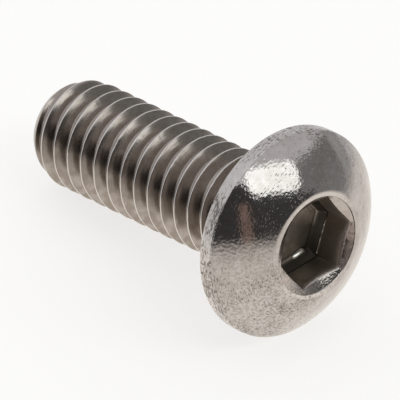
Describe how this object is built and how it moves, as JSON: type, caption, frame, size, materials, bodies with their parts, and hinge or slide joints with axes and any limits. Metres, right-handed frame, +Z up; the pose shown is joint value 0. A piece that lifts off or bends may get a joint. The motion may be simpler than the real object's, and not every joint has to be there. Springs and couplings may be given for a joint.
{
  "type": "hexagon socket button head screw",
  "caption": "Small stainless button head machine screw with a hexagon socket in its low domed head and a right-hand thread along the whole shank, lying as it rests on a table.",
  "frame": {"origin": "middle of the lying screw's bounding box, on the table that it rests on", "axes": "+X along the screw towards its head, +Z up; the head end of the screw's own axis is raised by 10.3 degrees, because the head's rim is wider than the thread"},
  "size_m": [0.0098, 0.0056, 0.0055],
  "materials": {
    "stainless_steel": "bright cold-formed stainless steel with small pits"
  },
  "bodies": {
    "root": {"screw": "stainless_steel"}
  },
  "joints": []
}
